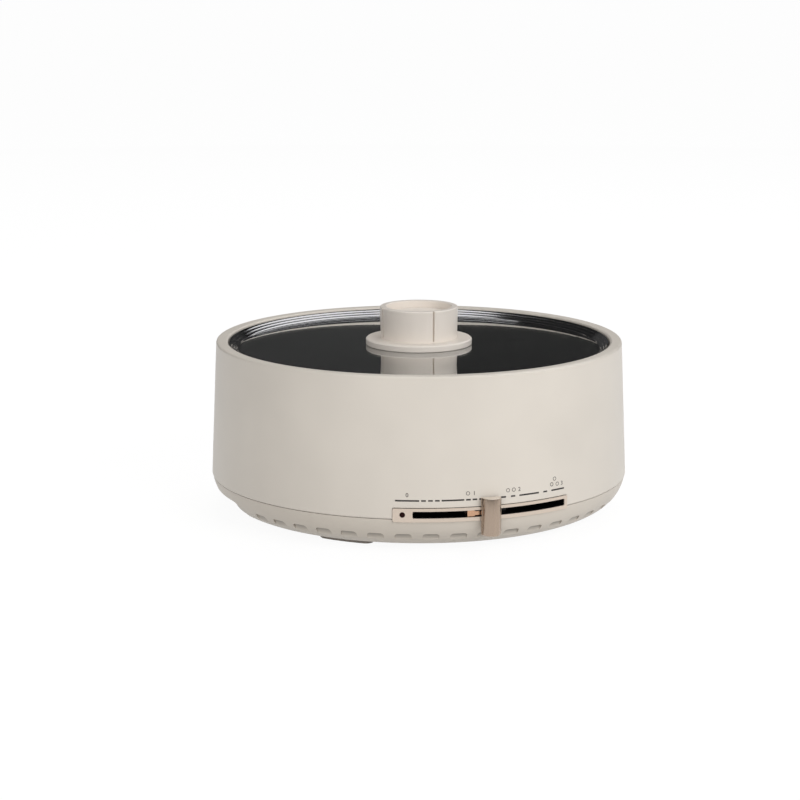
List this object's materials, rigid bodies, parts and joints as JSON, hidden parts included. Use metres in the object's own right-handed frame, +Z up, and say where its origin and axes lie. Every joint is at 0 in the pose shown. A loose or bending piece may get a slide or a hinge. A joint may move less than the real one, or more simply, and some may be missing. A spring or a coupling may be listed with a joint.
{
  "type": "electric cooking pot",
  "caption": "Round electric cooking pot: plastic housing with a steel liner, lift-out inner pot, flat glass lid with a cup knob, heat slider in front, power inlet at the back",
  "frame": {"origin": "On the pot's axis, in the plane that the feet stand on", "axes": "+Z up along the pot's axis, -Y out of the front with the heat slider, +X to the viewer's right"},
  "size_m": [0.32, 0.3299, 0.1553],
  "materials": {
    "shell_plastic": "satin, warm ivory",
    "base_plastic": "satin, warm grey ivory",
    "knob_plastic": "satin, warm ivory",
    "bezel_metallic": "satin champagne metallic",
    "tab_metallic": "satin champagne metallic",
    "carriage_metallic": "satin copper metallic",
    "lens_smoke": "clear smoke",
    "lid_glass": "clear, polished",
    "lid_steel": "polished",
    "silicone": "satin",
    "foot_rubber": "matte",
    "black_plastic": "satin black",
    "relay_plastic": "semi-gloss",
    "board_laminate": "semi-gloss green laminate",
    "liner_steel": "plain steel sheet",
    "pot_coating": "dark non-stick coating",
    "plate_casting": "cast and turned",
    "steel": "plain",
    "screw_steel": "zinc plated",
    "brass": "plain",
    "spacer_ceramic": "unglazed",
    "lamp_epoxy": "clear"
  },
  "bodies": {
    "housing": {"housing_shell": "shell_plastic", "base_cover": "base_plastic", "foot_front_left": "foot_rubber", "foot_front_right": "foot_rubber", "foot_rear_left": "foot_rubber", "foot_rear_right": "foot_rubber", "inner_liner": "liner_steel", "weld_nuts": "steel", "base_screws": "screw_steel", "heating_plate": "plate_casting", "heating_tube": "steel", "plate_spacers": "spacer_ceramic", "plate_screws": "screw_steel", "sensor_seat": "steel", "sensor_spring": "steel", "safety_thermostat": "black_plastic", "control_board": "board_laminate", "board_screws": "screw_steel", "power_relay": "relay_plastic", "terminal_block": "black_plastic", "power_inlet": "black_plastic", "inlet_pins": "brass", "slider_bezel": "bezel_metallic", "indicator_lens": "lens_smoke", "indicator_lamp": "lamp_epoxy", "slider_rail": "black_plastic", "rail_screws": "screw_steel", "contact_board": "board_laminate"},
    "heat_slider": {"slider_carriage": "carriage_metallic", "slider_tab": "tab_metallic", "wiper_contact": "brass"},
    "sensor": {"sensor_cap": "steel"},
    "pot": {"inner_pot": "pot_coating"},
    "lid": {"lid_glass": "lid_glass", "lid_rim": "lid_steel", "lid_gasket": "silicone", "knob_flange": "knob_plastic", "knob_cup": "knob_plastic", "knob_washer": "steel", "knob_screw": "screw_steel"}
  },
  "joints": [
    {"name": "slider_turn", "type": "hinge", "parent": "housing", "child": "heat_slider", "pos_m": [0, 0, 0], "axis": [0, 0, 1], "range_deg": [-13.95, 20.15]},
    {"name": "sensor_press", "type": "slide", "parent": "housing", "child": "sensor", "axis": [0, 0, 1], "range_m": [-0.002, 0], "stiffness_N_per_m": 300, "springref_m": 0.003, "deforming": ["sensor_spring"]},
    {"name": "pot_lift", "type": "slide", "parent": "housing", "child": "pot", "axis": [0, 0, 1], "range_m": [0, 0.12]},
    {"name": "lid_lift", "type": "slide", "parent": "pot", "child": "lid", "axis": [0, 0, 1], "range_m": [0, 0.06]}
  ]
}
